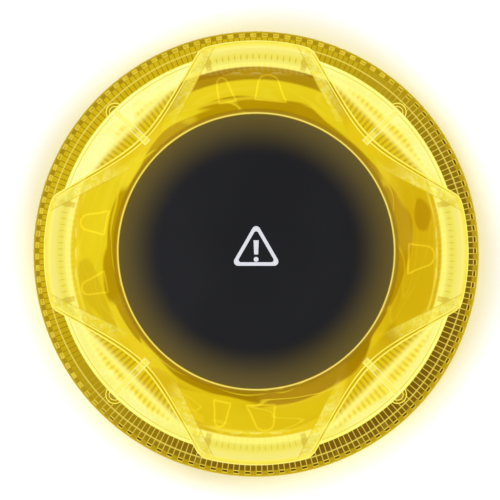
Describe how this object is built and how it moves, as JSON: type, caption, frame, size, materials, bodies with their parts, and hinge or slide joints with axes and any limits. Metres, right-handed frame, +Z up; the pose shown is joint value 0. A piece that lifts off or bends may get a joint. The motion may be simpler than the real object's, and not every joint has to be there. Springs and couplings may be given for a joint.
{
  "type": "emergency warning beacon",
  "caption": "Puck-shaped amber warning beacon with a lobed, ribbed lens, dark centre cap, sealed electronics and battery core, and a magnetic base with a twist-lock door and push button.",
  "frame": {"origin": "centre of the flat face that the beacon stands on", "axes": "+Z up through the dark cap, +X towards one lobe, +Y towards the next lobe; the power button is on the -Y side of the underside"},
  "size_m": [0.1, 0.1, 0.041],
  "materials": {
    "amber_lens": "clear amber polycarbonate, glossy",
    "black_cap": "fine matte texture",
    "black_rubber": "soft rubber",
    "dark_plastic": "moulded plastic",
    "circuit_board": "solder-masked fibreglass",
    "shield_can": "tinned steel can",
    "chip_black": "moulded chip package",
    "ferrite": "sintered ferrite",
    "spacer_brass": "turned brass",
    "screw_steel": "zinc-plated steel",
    "aerial_ceramic": "fired ceramic",
    "aerial_plastic": "plastic carrier",
    "diffuser_clear": "fluted clear amber plastic",
    "reflector_yellow": "glossy yellow-white plastic",
    "lamp_board": "white solder mask",
    "lamp_amber": "phosphor under clear resin",
    "flex_lead": "copper flex under amber film",
    "base_black": "moulded plastic",
    "magnet_nickel": "nickel plate",
    "cell_sleeve": "shrink sleeve",
    "contact_nickel": "nickel-plated spring wire",
    "lead_red": "insulated wire",
    "door_black": "moulded plastic",
    "seal_red": "silicone rubber",
    "button_red": "soft-touch plastic",
    "plunger_white": "moulded plastic"
  },
  "bodies": {
    "housing": {"lens_cover": "amber_lens", "top_cap": "black_cap", "cap_gasket": "black_rubber", "core_housing": "dark_plastic", "main_board": "circuit_board", "modem_module": "shield_can", "sim_chip": "chip_black", "controller_chip": "chip_black", "boost_inductor": "ferrite", "board_spacers": "spacer_brass", "board_screws": "screw_steel", "aerial_board": "circuit_board", "positioning_aerial": "aerial_ceramic", "cellular_aerial": "aerial_plastic", "fluted_diffuser": "diffuser_clear", "reflector_tray": "reflector_yellow", "lamp_board_east": "lamp_board", "lamp_board_north": "lamp_board", "lamp_board_west": "lamp_board", "lamp_board_south": "lamp_board", "lamps": "lamp_amber", "lamp_leads": "flex_lead", "base_tray": "base_black", "base_gasket": "black_rubber", "housing_screws": "screw_steel", "magnets": "magnet_nickel", "foot_pad": "black_rubber", "battery_holder": "dark_plastic", "battery_cell_front": "cell_sleeve", "battery_cell_middle": "cell_sleeve", "battery_cell_rear": "cell_sleeve", "contact_springs": "contact_nickel", "contact_plates": "contact_nickel", "battery_leads": "lead_red", "button_spring": "contact_nickel", "switch_body": "chip_black", "switch_board": "circuit_board", "switch_lead": "flex_lead"},
    "door": {"battery_door": "door_black", "door_seal": "seal_red"},
    "button": {"power_button": "button_red", "button_seal": "black_rubber", "switch_plunger": "plunger_white"}
  },
  "joints": [
    {"name": "door_turn", "type": "hinge", "parent": "housing", "child": "door", "pos_m": [0, 0, 0.0026], "axis": [0, 0, 1], "range_deg": [0, 40]},
    {"name": "button_press", "type": "slide", "parent": "housing", "child": "button", "axis": [0, 0, 1], "range_m": [0, 0.0008], "stiffness_N_per_m": 1200, "springref_m": -0.0008, "deforming": ["button_spring"]}
  ]
}
